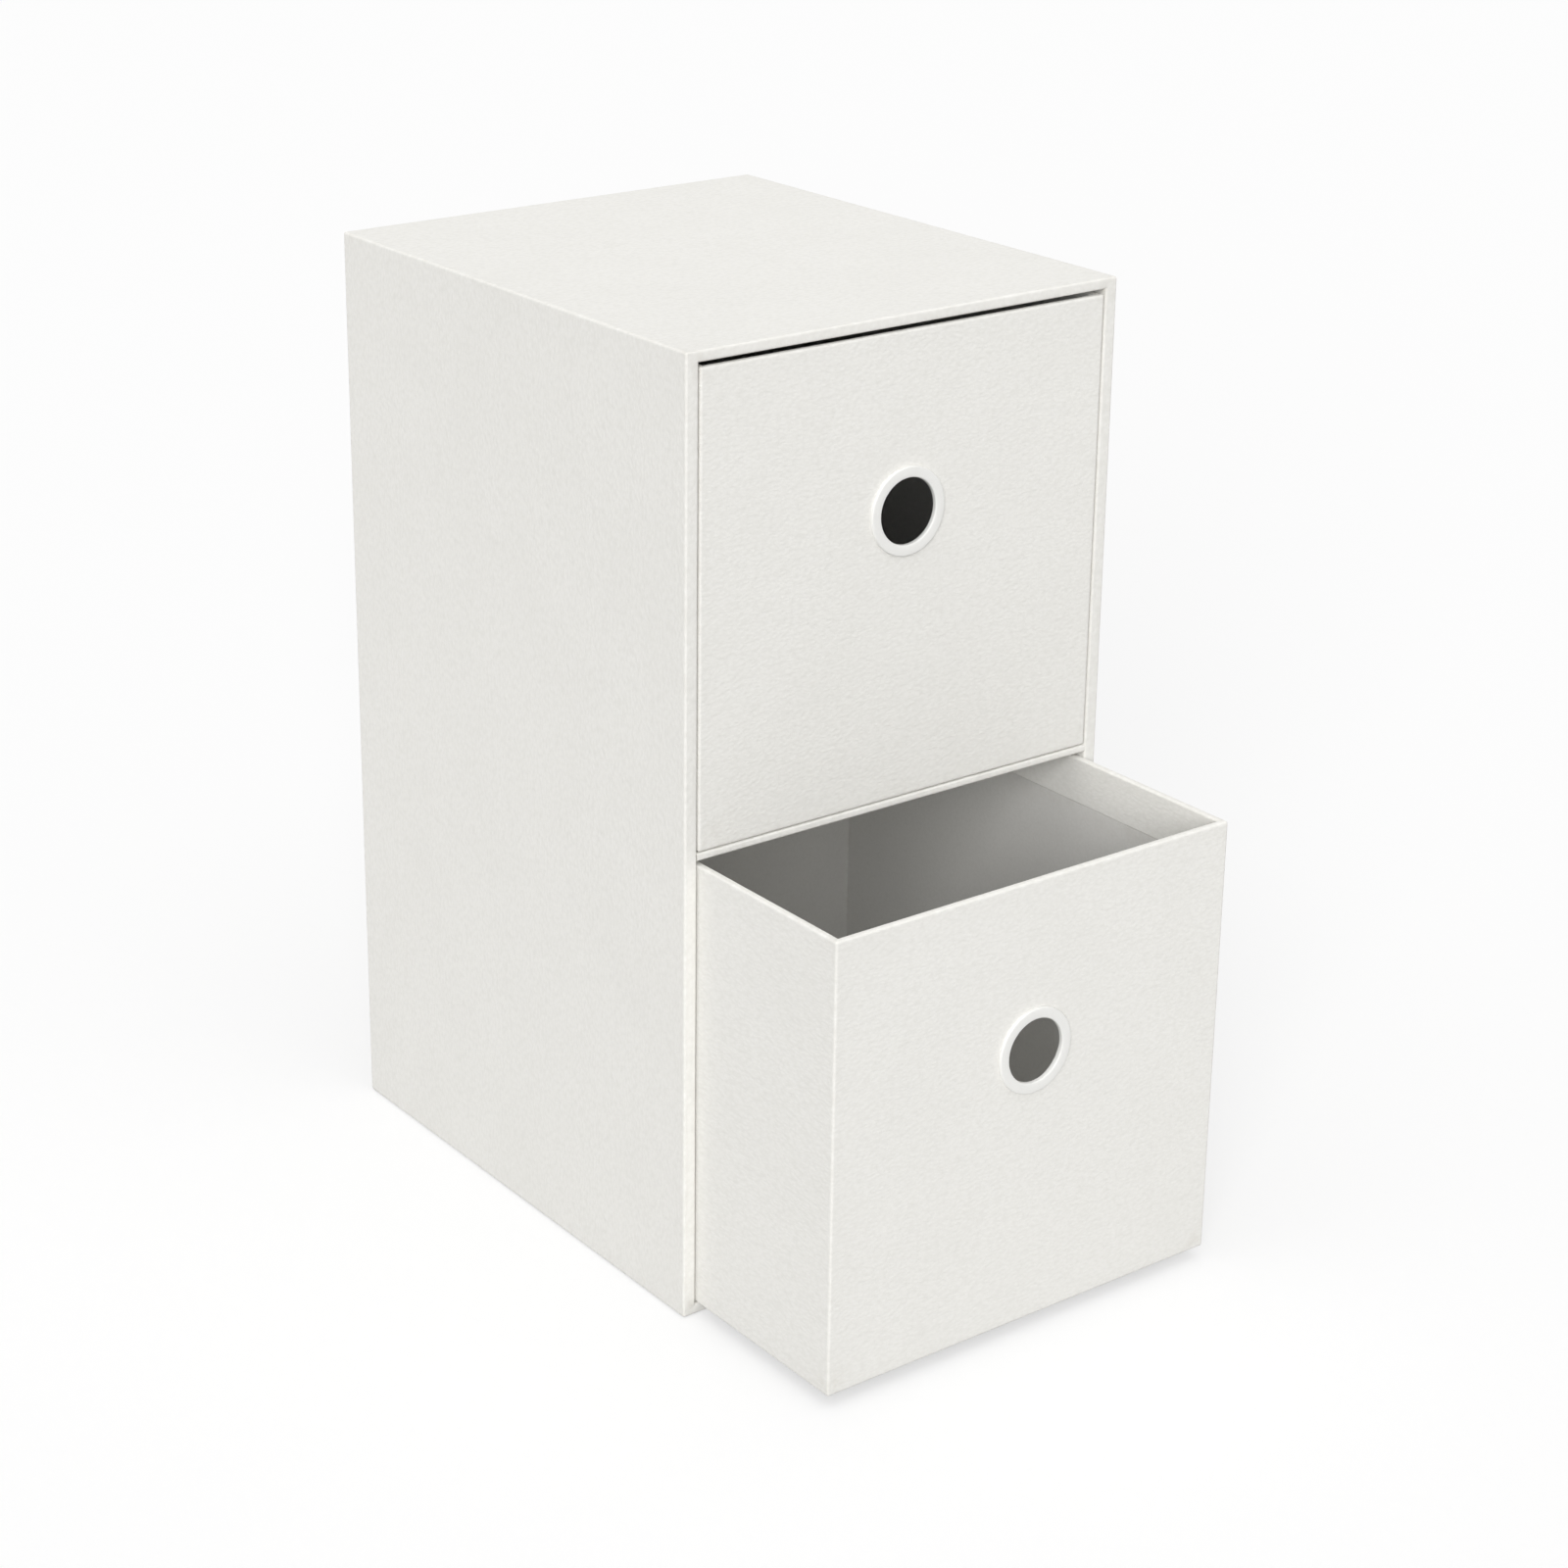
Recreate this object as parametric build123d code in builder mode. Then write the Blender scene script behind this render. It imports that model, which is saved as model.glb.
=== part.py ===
from build123d import *
import os

# A two-drawer storage box of paper-covered greyboard, for the top of a desk or a shelf.
# Millimetres, +Z up. The origin is the centre of the cabinet's underside, and the
# drawers open towards -Y. The lower drawer rests part way out, the upper one shut.

os.makedirs("parts", exist_ok=True)

# ---- Sheet materials --------------------------------------------------------------
side_board = 4.0  # greyboard of the cabinet's sides
deck_board = 3.0  # greyboard of its top, bottom and back
shelf_board = 2.0  # greyboard of the shelf between the bays
drawer_board = 2.0  # greyboard of the drawers
paper = 0.25  # covering and lining papers
board_edge_radius = 0.5  # softened edge of the greyboard under the paper

# ---- Cabinet ----------------------------------------------------------------------
cabinet_width = 161.5
cabinet_depth = 188.5
bay_height = 148.25  # clear height of each bay
cabinet_turn_in = 15.0  # covering paper folded into the mouth and under the back and base papers
cabinet_sheet_margin = 3.0  # edge of the cabinet to the edge of the back and base papers

# ---- Drawers ----------------------------------------------------------------------
side_clearance = 0.5  # drawer to bay, on each side
top_clearance = 1.5  # drawer rim to the bay's ceiling
rear_clearance = 1.5  # shut drawer to the bay's back
drawer_turn_in = 15.0  # covering paper folded down inside the rim and under the base paper
drawer_sheet_margin = 3.0  # edge of the drawer to the edge of its base paper
lower_drawer_out = 65.5  # how far the lower drawer stands open

# ---- Finger rings -----------------------------------------------------------------
finger_hole_radius = 10.4  # the opening that a finger goes through
flange_width = 3.5  # flange seen round the opening
flange_thickness = 1.1  # how far the flange stands proud of the front
flange_rounding = 0.5  # rounded outer and inner rims of the flange
seat_depth = 0.5  # how far the flange's inner part sinks into the cut
collar_inset = 1.0  # rim of the flange to the outside of the collar
collar_wall = 0.7  # collar that is pressed into the cut
collar_clearance = 0.15  # collar to the cut in board and papers
collar_setback = 0.2  # end of the collar to the drawer's lining
hole_below_rim = 55.1  # drawer rim to the centre of the hole

# ---- Sizes that follow ------------------------------------------------------------
side_wall = side_board + 2 * paper
deck_wall = deck_board + 2 * paper
shelf_wall = shelf_board + 2 * paper
drawer_wall = drawer_board + 2 * paper
cabinet_height = paper + 2 * deck_wall + shelf_wall + 2 * bay_height

half_width = cabinet_width / 2
bay_half_width = half_width - side_wall
front = -cabinet_depth / 2
back = cabinet_depth / 2
bay_back = back - paper - deck_wall
lower_floor = paper + deck_wall
shelf_underside = lower_floor + bay_height
upper_floor = shelf_underside + shelf_wall

drawer_half_width = bay_half_width - side_clearance
drawer_depth = bay_back - rear_clearance - front
drawer_height = bay_height - top_clearance

flange_radius = finger_hole_radius + flange_width
collar_radius = flange_radius - collar_inset
cut_radius = collar_radius + collar_clearance


def block(x, y, z):
    """A box between the low and high value of each axis."""
    with BuildPart() as made:
        with BuildSketch(Plane.XY.offset(z[0])):
            with Locations(((x[0] + x[1]) / 2, (y[0] + y[1]) / 2)):
                Rectangle(x[1] - x[0], y[1] - y[0])
        extrude(amount=z[1] - z[0])
    return made.part


def shrunk(span, amount):
    """A low and high value, each moved inwards by an amount."""
    return (span[0] + amount, span[1] - amount)


def carcass(outside, cavity, mouth, radius):
    """A box with rounded outer edges and a cavity whose mouth, on one side, is rounded too."""
    with BuildPart() as made:
        add(outside)
        fillet(made.edges(), radius)
        add(cavity, mode=Mode.SUBTRACT)
        fillet(made.edges(Select.LAST).filter_by_position(*mouth), radius)
    return made.part


def skin(covered, boards):
    """The papers over and inside a carcass, as one closed sheet."""
    with BuildPart() as made:
        add(covered)
        add(boards, mode=Mode.SUBTRACT)
    return made.part


def save(piece, label):
    """Labels a finished piece and writes it."""
    piece.part.label = label
    export_step(piece.part, f"parts/{label}.step")


def save_cut(label, whole, *cuts, within=None):
    """Writes a solid, kept to a block where one is given, with each cut taken out of it."""
    with BuildPart() as made:
        add(whole)
        if within:
            add(within, mode=Mode.INTERSECT)
        for cut in cuts:
            add(cut, mode=Mode.SUBTRACT)
    save(made, label)


# ---- Cabinet ----------------------------------------------------------------------
# The covering paper spans the outer sizes here. The back paper lies behind it, and the
# base paper, which is the face the cabinet stands on, lies below it.
x_out = (-half_width, half_width)
y_out = (front, back - paper)
z_out = (paper, cabinet_height)
x_board = shrunk(x_out, paper)
y_board = shrunk(y_out, paper)
z_board = shrunk(z_out, paper)
x_between = shrunk(x_board, side_board)
z_between = shrunk(z_board, deck_board)
x_bay = shrunk(x_out, side_wall)
past_front = front - paper

cabinet_covered = carcass(
    block(x_out, y_out, z_out),
    block(x_bay, (past_front, bay_back), shrunk(z_out, deck_wall)),
    (Axis.Y, front, front),
    board_edge_radius + paper,
)
cabinet_boards = carcass(
    block(x_board, y_board, z_board),
    block(x_between, (past_front, bay_back + paper), z_between),
    (Axis.Y, front + paper, front + paper),
    board_edge_radius,
)

save_cut("left_side_board", cabinet_boards, within=block((-half_width, x_between[0]), y_out, z_out))
save_cut("right_side_board", cabinet_boards, within=block((x_between[1], half_width), y_out, z_out))
save_cut("top_board", cabinet_boards, within=block(x_between, y_out, (z_between[1], cabinet_height)))
save_cut("bottom_board", cabinet_boards, within=block(x_between, y_out, (0, z_between[0])))
save_cut("back_board", cabinet_boards, within=block(x_between, (bay_back + paper, back), z_between))

cabinet_skin = skin(cabinet_covered, cabinet_boards)
lined = block(x_between, (front + cabinet_turn_in, bay_back + paper), z_between)
x_bare = shrunk(x_out, cabinet_turn_in)
bare_back = block(x_bare, (y_board[1], y_out[1]), shrunk(z_out, cabinet_turn_in))
bare_base = block(x_bare, shrunk(y_out, cabinet_turn_in), (z_out[0], z_board[0]))
save_cut("cabinet_wrap", cabinet_skin, lined, bare_back, bare_base)
save_cut("cabinet_lining", cabinet_skin, within=lined)

x_sheet = shrunk(x_out, cabinet_sheet_margin)
save_cut("back_paper", block(x_sheet, (y_out[1], back), shrunk(z_out, cabinet_sheet_margin)))
save_cut("base_paper", block(x_sheet, shrunk(y_out, cabinet_sheet_margin), (0, z_out[0])))

# ---- Shelf between the bays -------------------------------------------------------
y_shelf = (front, bay_back)
z_shelf = (shelf_underside, upper_floor)


def shelf_slab(y, z, radius):
    """A shelf as wide as the bay, with its two front edges rounded."""
    with BuildPart() as made:
        add(block(x_bay, y, z))
        fillet(made.edges().filter_by(Axis.X).group_by(Axis.Y)[0], radius)
    return made.part


shelf_core = shelf_slab((front + paper, bay_back), shrunk(z_shelf, paper), board_edge_radius)
shelf_covered = shelf_slab(y_shelf, z_shelf, board_edge_radius + paper)
save_cut("shelf_board", shelf_core)
save_cut("shelf_wrap", shelf_covered, shelf_core)


# ---- Finger rings -----------------------------------------------------------------
def ring_plane(front_y, low_z):
    """The plane of a drawer's front at its finger hole: local Y is up and local Z comes out."""
    return Plane((0, front_y, low_z + drawer_height - hole_below_rim), x_dir=(1, 0, 0), z_dir=(0, -1, 0))


def finger_hole(at):
    """The round cut through every layer of a drawer's front."""
    with BuildPart() as made:
        with BuildSketch(at):
            Circle(cut_radius)
        extrude(amount=-drawer_wall)
    return made.part


def save_ring(label, at):
    """A flat ring with rounded rims, a seat that sinks into the cut, and a collar behind it."""
    with BuildPart() as made:
        with BuildSketch(at):
            Circle(flange_radius)
        extrude(amount=flange_thickness)
        with BuildSketch(at):
            Circle(collar_radius)
        extrude(amount=collar_setback - drawer_wall)
        with BuildSketch(at.offset(-seat_depth)):
            Circle(collar_radius - collar_wall)
        extrude(amount=-drawer_wall, mode=Mode.SUBTRACT)
        with BuildSketch(at.offset(-seat_depth)):
            Circle(finger_hole_radius)
        extrude(amount=seat_depth + flange_thickness, mode=Mode.SUBTRACT)
        fillet(made.edges().filter_by(GeomType.CIRCLE).group_by(Axis.Y)[0], flange_rounding)
    save(made, label)


# ---- Drawers ----------------------------------------------------------------------
def save_drawer(name, front_y, low_z):
    """The pieces of one drawer, with its front face at front_y and its underside at low_z."""
    rim = low_z + drawer_height
    x_all = (-drawer_half_width, drawer_half_width)
    y_all = (front_y, front_y + drawer_depth)
    z_all = (low_z + paper, rim)
    x_sides = shrunk(x_all, paper)
    y_sides = shrunk(y_all, paper)
    z_sides = shrunk(z_all, paper)
    x_within = shrunk(x_sides, drawer_board)
    y_within = shrunk(y_sides, drawer_board)
    floor_top = z_sides[0] + drawer_board
    past_rim = rim + paper
    covered = carcass(
        block(x_all, y_all, z_all),
        block(shrunk(x_all, drawer_wall), shrunk(y_all, drawer_wall), (floor_top + paper, past_rim)),
        (Axis.Z, rim, rim),
        board_edge_radius + paper,
    )
    boards = carcass(
        block(x_sides, y_sides, z_sides),
        block(x_within, y_within, (floor_top, past_rim)),
        (Axis.Z, z_sides[1], z_sides[1]),
        board_edge_radius,
    )
    at = ring_plane(front_y, low_z)
    hole = finger_hole(at)

    front_panel = block(x_all, (front_y, y_within[0]), z_all)
    back_panel = block(x_all, (y_within[1], y_all[1]), z_all)
    left_panel = block((x_all[0], x_within[0]), y_within, z_all)
    right_panel = block((x_within[1], x_all[1]), y_within, z_all)
    floor_panel = block(x_within, y_within, (z_all[0], floor_top))
    save_cut(f"{name}_front_board", boards, hole, within=front_panel)
    save_cut(f"{name}_back_board", boards, within=back_panel)
    save_cut(f"{name}_left_board", boards, within=left_panel)
    save_cut(f"{name}_right_board", boards, within=right_panel)
    save_cut(f"{name}_bottom_board", boards, within=floor_panel)

    papers = skin(covered, boards)
    lined_part = block(x_within, y_within, (floor_top, rim - drawer_turn_in))
    bare_part = block(shrunk(x_all, drawer_turn_in), shrunk(y_all, drawer_turn_in), (z_all[0], z_sides[0]))
    x_base = shrunk(x_all, drawer_sheet_margin)
    y_base = shrunk(y_all, drawer_sheet_margin)
    save_cut(f"{name}_wrap", papers, lined_part, bare_part, hole)
    save_cut(f"{name}_lining", papers, hole, within=lined_part)
    save_cut(f"{name}_base_paper", block(x_base, y_base, (low_z, z_all[0])))

    save_ring(f"{name}_finger_ring", at)


save_drawer("upper_drawer", front, upper_floor)
save_drawer("lower_drawer", front - lower_drawer_out, lower_floor)
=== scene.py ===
"""Looks of a two-drawer storage box made of paper-covered greyboard.

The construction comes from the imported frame. Over it, this script models each covering paper,
lining and finger ring again and dresses the greyboards inside. Metres, in the frame's own
axes: +Z is up, and the drawers open towards -Y.
"""

import logging
import math
from dataclasses import dataclass, field
from enum import Enum
from typing import Sequence

import bmesh
import bpy
from mathutils import Euler, Matrix, Vector, noise


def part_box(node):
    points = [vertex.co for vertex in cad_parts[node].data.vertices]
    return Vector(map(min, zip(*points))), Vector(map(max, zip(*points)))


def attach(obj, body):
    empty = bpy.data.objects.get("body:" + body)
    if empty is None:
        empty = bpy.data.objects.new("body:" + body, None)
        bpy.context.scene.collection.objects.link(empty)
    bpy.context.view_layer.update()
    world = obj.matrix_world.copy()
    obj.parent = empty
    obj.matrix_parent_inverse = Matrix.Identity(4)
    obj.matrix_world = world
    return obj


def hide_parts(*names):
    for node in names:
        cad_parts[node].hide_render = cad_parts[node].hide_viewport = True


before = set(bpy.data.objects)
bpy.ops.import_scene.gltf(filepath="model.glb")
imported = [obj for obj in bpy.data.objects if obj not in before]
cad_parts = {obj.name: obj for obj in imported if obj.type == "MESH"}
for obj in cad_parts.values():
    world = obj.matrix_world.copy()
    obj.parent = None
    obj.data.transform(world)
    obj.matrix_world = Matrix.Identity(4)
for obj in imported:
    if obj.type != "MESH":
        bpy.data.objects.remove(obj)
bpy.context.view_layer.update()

log = logging.getLogger("storage_box")

Point = tuple[float, float, float]
Colour = tuple[float, float, float]
Socket = bpy.types.NodeSocket

MM = 0.001
WELD = 0.002 * MM  # points nearer than this are one point
FACE_STEP = 7.0 * MM  # widest spacing of the points on a flat wall
STEP_SLACK = 1e-6  # a share of a step this small asks for no further point
EDGE_RADIUS = 0.75 * MM  # rounded edge of a covered board
EDGE_STEPS = 4  # faces across a rounded edge
EDGE_ZONE = (0.45 * MM, 1.8 * MM)  # extra points beside each edge
RIPPLE_DEPTH = 0.06 * MM  # how far glued paper dips
RIPPLE_LENGTH = 34.0 * MM  # how long the broad ripples are
RIPPLE_FINE = 0.3  # length of the narrow ripples, as a share of the broad ones
RIPPLE_MIX = (0.5, 0.6, 0.25)  # mean dip, broad ripples and narrow ones, as shares of the depth
LINING_SEED, SHEET_SEED, SHELF_SEED = 7.3, 3.1, 5.9  # added to a box's seed, so that its papers differ
FOLD_DEPTH = 0.09 * MM  # furrow where turned-in papers meet at a corner
LAP_GAP = 0.15 * MM  # hairline between a turned-in edge and the lining
HOLE_SQUARE = 19.0 * MM  # half the side of the square of faces round a finger hole
SHARP_ANGLE = math.radians(50.0)  # edges that turn more than this are drawn sharp
WALL_WEIGHT = 100  # how far the largest faces decide the shading of an edge
WEAR_REACH = (0.9 * MM, 4.0 * MM)  # rubbed band along an edge, rubbed patch at a corner
FAR = 1.0  # moves the sides of a box out of reach of wear
RIGHT = Vector((1.0, 0.0, 0.0))
FORWARD = Vector((0.0, -1.0, 0.0))
BACKWARD = Vector((0.0, 1.0, 0.0))
DOWN = Vector((0.0, 0.0, -1.0))


class Body(Enum):
    """The bodies that move on their own."""

    CABINET = "cabinet"
    UPPER = "upper_drawer"
    LOWER = "lower_drawer"


class Slot(Enum):
    """The material slots of the record."""

    COVERING = "covering_paper"
    LINING = "lining_paper"
    RING = "ring_plastic"


class Mouth(Enum):
    """The side on which a covered box is open."""

    FRONT = "front"
    TOP = "top"


# ---- Finishes ---------------------------------------------------------------------


class NodeGraph:
    """A material and the few kinds of node that the finishes are made of."""

    def __init__(self, name: str) -> None:
        """Starts a material that has one principled shader.

        Args:
            name: What the material is called.
        """
        self.material = bpy.data.materials.new(name)
        self.material.use_nodes = True
        self.tree = self.material.node_tree
        self.shader = self.tree.nodes["Principled BSDF"]
        self.place = self.tree.nodes.new("ShaderNodeTexCoord").outputs["Object"]

    def feed(self, node: bpy.types.Node, name: str, value: Socket | float) -> None:
        """Links a socket to a node's input, or sets that input to a number.

        Args:
            node: The node to feed.
            name: The name of its input.
            value: A socket or a plain number.
        """
        if isinstance(value, Socket):
            self.tree.links.new(value, node.inputs[name])
        else:
            node.inputs[name].default_value = value

    def grains(self, size: Point) -> Socket:
        """Object coordinates counted in grains.

        Args:
            size: Length of one grain along X, Y and Z.

        Returns:
            The stretched coordinates.
        """
        mapping = self.tree.nodes.new("ShaderNodeMapping")
        mapping.inputs["Scale"].default_value = tuple(1.0 / length for length in size)
        self.feed(mapping, "Vector", self.place)
        return mapping.outputs["Vector"]

    def noise(self, size: Point, detail: float = 2.0, roughness: float = 0.5, swirl: float = 0.0) -> Socket:
        """A soft random pattern.

        Args:
            size: Length of one blotch along X, Y and Z.
            detail: How many finer patterns it holds.
            roughness: How strong those are.
            swirl: How far the pattern is dragged about.

        Returns:
            A value around one half.
        """
        node = self.tree.nodes.new("ShaderNodeTexNoise")
        self.feed(node, "Vector", self.grains(size))
        self.feed(node, "Scale", 1.0)
        self.feed(node, "Detail", detail)
        self.feed(node, "Roughness", roughness)
        self.feed(node, "Distortion", swirl)
        return node.outputs[0]

    def cells(self, size: Point) -> Socket:
        """Small rounded dimples that lie side by side.

        Args:
            size: Length of one dimple along X, Y and Z.

        Returns:
            The distance from the middle of a dimple.
        """
        node = self.tree.nodes.new("ShaderNodeTexVoronoi")
        node.feature = "SMOOTH_F1"
        self.feed(node, "Vector", self.grains(size))
        self.feed(node, "Scale", 1.0)
        self.feed(node, "Smoothness", 0.6)
        return node.outputs["Distance"]

    def sum(self, *parts: tuple[Socket, float]) -> Socket:
        """Adds values by weight.

        Args:
            parts: Each value with its weight.

        Returns:
            The weighted sum.
        """
        total: Socket | float = 0.0
        for value, weight in parts:
            node = self.tree.nodes.new("ShaderNodeMath")
            node.operation = "MULTIPLY_ADD"
            self.tree.links.new(value, node.inputs[0])
            node.inputs[1].default_value = weight
            if isinstance(total, Socket):
                self.tree.links.new(total, node.inputs[2])
            else:
                node.inputs[2].default_value = total
            total = node.outputs[0]
        return total

    def times(self, first: Socket, second: Socket) -> Socket:
        """Multiplies two values.

        Args:
            first: One value.
            second: The other one.

        Returns:
            Their product.
        """
        node = self.tree.nodes.new("ShaderNodeMath")
        node.operation = "MULTIPLY"
        self.tree.links.new(first, node.inputs[0])
        self.tree.links.new(second, node.inputs[1])
        return node.outputs[0]

    def band(self, value: Socket, span: tuple[float, float], to: tuple[float, float]) -> Socket:
        """Moves a value from one span to another and holds it there.

        Args:
            value: The value to move.
            span: Its low and high value.
            to: What those become.

        Returns:
            The moved value.
        """
        node = self.tree.nodes.new("ShaderNodeMapRange")
        self.feed(node, "Value", value)
        self.feed(node, "From Min", span[0])
        self.feed(node, "From Max", span[1])
        self.feed(node, "To Min", to[0])
        self.feed(node, "To Max", to[1])
        return node.outputs[0]

    def tint(self, under: Socket | Colour, over: Colour, share: Socket) -> Socket:
        """Lays a colour over another.

        Args:
            under: The colour below, or the socket that carries it.
            over: The colour on top.
            share: How much of the top colour shows.

        Returns:
            The mixed colour.
        """
        node = self.tree.nodes.new("ShaderNodeMix")
        node.data_type = "RGBA"
        factor, low, high = node.inputs[0], node.inputs[6], node.inputs[7]
        self.tree.links.new(share, factor)
        if isinstance(under, Socket):
            self.tree.links.new(under, low)
        else:
            low.default_value = (*under, 1.0)
        high.default_value = (*over, 1.0)
        return node.outputs[2]

    def wear(self) -> Socket:
        """How much an edge or a corner has been rubbed, as the mesh says.

        Returns:
            The wear, from 0 to 1.
        """
        node = self.tree.nodes.new("ShaderNodeAttribute")
        node.attribute_name = "wear"
        return node.outputs["Fac"]

    def dress(self, colour: Socket, roughness: Socket, height: Socket, relief: float) -> None:
        """Joins colour, roughness and relief to the shader.

        Args:
            colour: The surface's colour.
            roughness: Its roughness.
            height: Its relief, from 0 to 1.
            relief: How deep that relief is.
        """
        bump = self.tree.nodes.new("ShaderNodeBump")
        bump.inputs["Strength"].default_value = 1.0
        bump.inputs["Distance"].default_value = relief
        self.tree.links.new(height, bump.inputs["Height"])
        self.tree.links.new(bump.outputs["Normal"], self.shader.inputs["Normal"])
        self.tree.links.new(colour, self.shader.inputs["Base Color"])
        self.tree.links.new(roughness, self.shader.inputs["Roughness"])


def seen_directly(tree: bpy.types.NodeTree) -> Socket:
    """Tells rays that show a surface from rays that light others with it.

    Args:
        tree: The node tree to add to.

    Returns:
        1 for camera, glossy and transmission rays, and 0 for the rest.
    """
    path = tree.nodes.new("ShaderNodeLightPath")
    seen: Socket = path.outputs["Is Camera Ray"]
    for name in ("Is Glossy Ray", "Is Transmission Ray"):
        either = tree.nodes.new("ShaderNodeMath")
        either.operation = "MAXIMUM"
        tree.links.new(seen, either.inputs[0])
        tree.links.new(path.outputs[name], either.inputs[1])
        seen = either.outputs[0]
    return seen


@dataclass(frozen=True)
class PaperFinish:
    """White paper, embossed with a fine grain that runs one way on its piece."""

    name: str
    colour: Colour
    # painted shade along the grain, and the random mottling
    grain_shade_and_mottle: Colour
    rubbed: Colour
    grain: Point
    relief: float
    roughness: float
    gloss: float

    STREAK_SHARE = 0.8  # length of a streak, as a share of the grain
    FIBRE = 0.24 * MM
    CLOUD = 31.0 * MM
    SMUDGE = 5.0 * MM
    UNEVEN = 0.06  # how far the roughness strays

    def material(self) -> bpy.types.Material:
        """Makes the paper's material.

        Returns:
            The material, with its grain, painted shade along the grain, mottling and rubbed edges.
        """
        graph = NodeGraph(self.name)
        hammered = graph.cells(self.grain)
        streak = tuple(self.STREAK_SHARE * size for size in self.grain)
        streaks = graph.noise(streak, detail=3.0, roughness=0.6, swirl=0.4)
        fibres = graph.noise((self.FIBRE,) * 3, detail=2.0)
        cloud = graph.noise((self.CLOUD,) * 3, detail=3.0, roughness=0.55)
        smudge = graph.noise((self.SMUDGE,) * 3, detail=4.0, roughness=0.65)
        height = graph.sum((hammered, 0.55), (streaks, 0.65), (fibres, 0.12))
        # painted shade: the paper darkens with the height of its grain, so the emboss shows more than its
        # bump shades it
        toned = graph.tint(self.colour, self.grain_shade_and_mottle, graph.band(height, (0.5, 0.9), (0.0, 0.7)))
        mottled = graph.tint(toned, self.grain_shade_and_mottle, graph.band(cloud, (0.4, 0.7), (0.0, 0.2)))
        rub = graph.times(graph.wear(), graph.band(smudge, (0.38, 0.66), (0.0, 0.8)))
        graph.dress(
            graph.tint(mottled, self.rubbed, rub),
            graph.band(streaks, (0.3, 0.7), (self.roughness - self.UNEVEN, self.roughness + self.UNEVEN)),
            height,
            self.relief,
        )
        graph.shader.inputs["Specular IOR Level"].default_value = self.gloss
        return graph.material


@dataclass(frozen=True)
class PlasticFinish:
    """Satin moulded plastic with a faint flow of the melt and fine scratches."""

    name: str
    colour: Colour
    shade: Colour
    roughness: float
    relief: float

    FLOW = (6.0 * MM, 6.0 * MM, 9.0 * MM)
    SPECKLE = 0.22 * MM
    SCRATCH = (4.0 * MM, 0.5 * MM, 0.16 * MM)
    SCRATCHED = 0.12  # how much rougher the scratches are

    def material(self) -> bpy.types.Material:
        """Makes the plastic's material.

        Returns:
            The material, with its flow, speckle and scratches.
        """
        graph = NodeGraph(self.name)
        flow = graph.noise(self.FLOW, detail=3.0, swirl=0.8)
        speckle = graph.noise((self.SPECKLE,) * 3, detail=3.0, roughness=0.7)
        scratches = graph.noise(self.SCRATCH, detail=2.0, swirl=0.3)
        toned = graph.tint(self.colour, self.shade, graph.band(flow, (0.4, 0.75), (0.0, 0.5)))
        rub = graph.times(graph.wear(), graph.band(speckle, (0.4, 0.65), (0.0, 0.5)))
        graph.dress(
            graph.tint(toned, self.shade, rub),
            graph.band(scratches, (0.35, 0.7), (self.roughness, self.roughness + self.SCRATCHED)),
            graph.sum((speckle, 0.6), (scratches, 0.4)),
            self.relief,
        )
        graph.shader.inputs["IOR"].default_value = 1.49
        graph.shader.inputs["Coat Weight"].default_value = 0.08
        return graph.material


@dataclass(frozen=True)
class GreyboardFinish:
    """Raw greyboard: pressed waste-paper fibres with darker flecks."""

    name: str
    colour: Colour
    fleck: Colour
    fibre: Colour
    roughness: float
    relief: float

    TUFT = (2.4 * MM, 0.5 * MM, 0.9 * MM)
    CHIP = (1.6 * MM, 1.1 * MM, 1.3 * MM)
    LAYER = (40.0 * MM, 40.0 * MM, 0.35 * MM)

    def material(self) -> bpy.types.Material:
        """Makes the greyboard's material.

        Returns:
            The material, with its fibres and flecks.
        """
        graph = NodeGraph(self.name)
        matted = graph.noise(self.TUFT, detail=5.0, roughness=0.65, swirl=1.2)
        fleck = graph.cells(self.CHIP)
        layers = graph.noise(self.LAYER, detail=2.0)
        toned = graph.tint(self.colour, self.fibre, graph.band(matted, (0.45, 0.7), (0.0, 0.7)))
        layered = graph.tint(toned, self.fibre, graph.band(layers, (0.45, 0.7), (0.0, 0.3)))
        graph.dress(
            graph.tint(layered, self.fleck, graph.band(fleck, (0.0, 0.16), (0.8, 0.0))),
            graph.band(matted, (0.3, 0.7), (self.roughness - 0.05, self.roughness + 0.04)),
            graph.sum((matted, 0.7), (layers, 0.3)),
            self.relief,
        )
        graph.shader.inputs["Specular IOR Level"].default_value = 0.2
        return graph.material


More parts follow.
